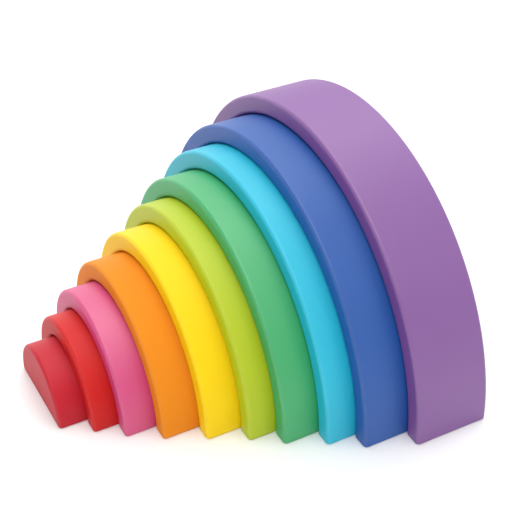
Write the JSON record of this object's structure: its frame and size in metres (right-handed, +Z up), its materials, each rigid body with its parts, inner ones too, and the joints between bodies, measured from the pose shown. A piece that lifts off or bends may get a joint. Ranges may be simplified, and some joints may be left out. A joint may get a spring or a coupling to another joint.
{
  "type": "rainbow stacker",
  "caption": "Nest of half-ring silicone arches round a half-disc core, drawn out like stairs in rainbow colours; the pieces slide, nest and stand on flat feet.",
  "frame": {"origin": "on the table, under the middle of the whole stack as it stands drawn out", "axes": "+X across the arches, +Y from the core back to the largest arch, +Z up"},
  "size_m": [0.2508, 0.1956, 0.1262],
  "materials": {
    "crimson_silicone": "matte",
    "red_silicone": "matte",
    "pink_silicone": "matte",
    "orange_silicone": "matte",
    "yellow_silicone": "matte",
    "lime_silicone": "matte",
    "green_silicone": "matte",
    "cyan_silicone": "matte",
    "blue_silicone": "matte",
    "purple_silicone": "matte"
  },
  "bodies": {
    "purple_arch": {"purple_arch": "purple_silicone"},
    "blue_arch": {"blue_arch": "blue_silicone"},
    "cyan_arch": {"cyan_arch": "cyan_silicone"},
    "green_arch": {"green_arch": "green_silicone"},
    "lime_arch": {"lime_arch": "lime_silicone"},
    "yellow_arch": {"yellow_arch": "yellow_silicone"},
    "orange_arch": {"orange_arch": "orange_silicone"},
    "pink_arch": {"pink_arch": "pink_silicone"},
    "red_arch": {"red_arch": "red_silicone"},
    "crimson_core": {"crimson_core": "crimson_silicone"}
  },
  "joints": [
    {"name": "blue_slide", "type": "slide", "parent": "purple_arch", "child": "blue_arch", "axis": [0, 1, 0], "range_m": [-0.0179, 0.0241]},
    {"name": "cyan_slide", "type": "slide", "parent": "blue_arch", "child": "cyan_arch", "axis": [0, 1, 0], "range_m": [-0.0267, 0.0153]},
    {"name": "green_slide", "type": "slide", "parent": "cyan_arch", "child": "green_arch", "axis": [0, 1, 0], "range_m": [-0.0233, 0.0187]},
    {"name": "lime_slide", "type": "slide", "parent": "green_arch", "child": "lime_arch", "axis": [0, 1, 0], "range_m": [-0.0277, 0.0143]},
    {"name": "yellow_slide", "type": "slide", "parent": "lime_arch", "child": "yellow_arch", "axis": [0, 1, 0], "range_m": [-0.0237, 0.0183]},
    {"name": "orange_slide", "type": "slide", "parent": "yellow_arch", "child": "orange_arch", "axis": [0, 1, 0], "range_m": [-0.0228, 0.0192]},
    {"name": "pink_slide", "type": "slide", "parent": "orange_arch", "child": "pink_arch", "axis": [0, 1, 0], "range_m": [-0.0259, 0.0161]},
    {"name": "red_slide", "type": "slide", "parent": "pink_arch", "child": "red_arch", "axis": [0, 1, 0], "range_m": [-0.029, 0.013]},
    {"name": "crimson_slide", "type": "slide", "parent": "red_arch", "child": "crimson_core", "axis": [0, 1, 0], "range_m": [-0.0274, 0.0146]}
  ]
}
